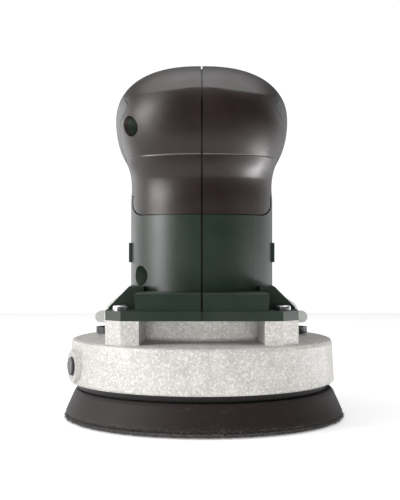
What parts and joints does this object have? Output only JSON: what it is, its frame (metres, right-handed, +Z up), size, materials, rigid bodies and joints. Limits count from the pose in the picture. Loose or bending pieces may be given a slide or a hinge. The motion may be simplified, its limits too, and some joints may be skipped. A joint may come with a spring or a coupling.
{
  "type": "random orbital sander",
  "caption": "Corded random orbital sander with round hook-and-loop pad, upright motor, soft palm grip, rear handle and dust bag.",
  "frame": {"origin": "on the motor axis, in the plane of the hook tips that the tool rests on", "axes": "+Z up along the motor axis, -Y is the tool's front, +Y runs along the handle to its rear end, +X is to the right of someone facing the tool's front"},
  "size_m": [0.1513, 0.2472, 0.1903],
  "materials": {
    "soft_grip": "satin, fine grained",
    "green_shell": "satin moulded",
    "cast_alloy": "bead blasted casting",
    "pad_foam": "matte moulded foam",
    "hook_pile": "hook pile",
    "carrier_plastic": "glass filled",
    "bright_steel": "zinc plated",
    "bearing_steel": "ground",
    "zinc_cast": "die cast",
    "black_rubber": "matte",
    "black_plastic": "satin",
    "fan_plastic": "moulded",
    "lamination_steel": "oiled laminations",
    "copper": "enamelled wire",
    "brass": "stamped",
    "carbon": "pressed carbon",
    "pale_plastic": "satin moulded",
    "bag_cloth": "non-woven cloth",
    "lock_plastic": "glossy"
  },
  "bodies": {
    "body": {"main_bearing_outer": "bearing_steel", "main_bearing_balls": "bearing_steel", "top_bearing_outer": "bearing_steel", "top_bearing_balls": "bearing_steel", "bearing_sleeve": "black_rubber", "bearing_retainer": "bright_steel", "field_core": "lamination_steel", "field_coils": "copper", "brush_holders": "brass", "carbon_brushes": "carbon", "brush_springs": "bright_steel", "fan_housing": "cast_alloy", "dust_seal": "black_rubber", "vent_grommets": "black_plastic", "flange_screws": "bright_steel", "lock_spring": "bright_steel", "housing_left": "green_shell", "housing_right": "green_shell", "grip_left": "soft_grip", "grip_right": "soft_grip", "shell_screws": "bright_steel", "air_baffle": "black_plastic", "switch_body": "black_plastic", "speed_module": "carrier_plastic", "cord_clamp": "black_plastic", "dust_duct": "black_plastic", "duct_screws": "bright_steel", "bag_collar": "pale_plastic", "dust_bag": "bag_cloth", "bag_clip": "pale_plastic"},
    "rotor": {"eccentric_hub": "zinc_cast", "bearing_circlip": "bright_steel", "counterweight": "zinc_cast", "dust_fan": "fan_plastic", "armature_shaft": "bright_steel", "armature_core": "lamination_steel", "armature_winding": "copper", "commutator": "copper", "main_bearing_inner": "bearing_steel", "top_bearing_inner": "bearing_steel", "pad_bearing_outer": "bearing_steel", "pad_bearing_balls": "bearing_steel"},
    "pad": {"sanding_pad": "pad_foam", "hook_face": "hook_pile", "pad_carrier": "carrier_plastic", "pad_spindle": "bright_steel", "pad_screw": "bright_steel", "pad_washer": "bright_steel", "pad_bearing_inner": "bearing_steel"},
    "switch": {"slide_button": "black_plastic"},
    "wheel": {"speed_wheel": "black_plastic"},
    "lock": {"lock_button": "lock_plastic", "lock_clip": "bright_steel"}
  },
  "joints": [
    {"name": "rotor_spin", "type": "hinge", "parent": "body", "child": "rotor", "pos_m": [0, 0, 0.05], "axis": [0, 0, 1], "continuous": true},
    {"name": "pad_spin", "type": "hinge", "parent": "rotor", "child": "pad", "pos_m": [0.00125, -0.00217, 0.025], "axis": [0, 0, 1], "continuous": true},
    {"name": "switch_slide", "type": "slide", "parent": "body", "child": "switch", "axis": [0, -1, 0], "range_m": [0, 0.006]},
    {"name": "speed_turn", "type": "hinge", "parent": "body", "child": "wheel", "pos_m": [0, 0.112, 0.1655], "axis": [1, 0, 0], "range_deg": [-150, 150]},
    {"name": "lock_push", "type": "slide", "parent": "body", "child": "lock", "axis": [0.9205, 0.3907, 0], "range_m": [0, 0.003], "stiffness_N_per_m": 800, "springref_m": -0.002, "deforming": ["lock_spring"]}
  ]
}
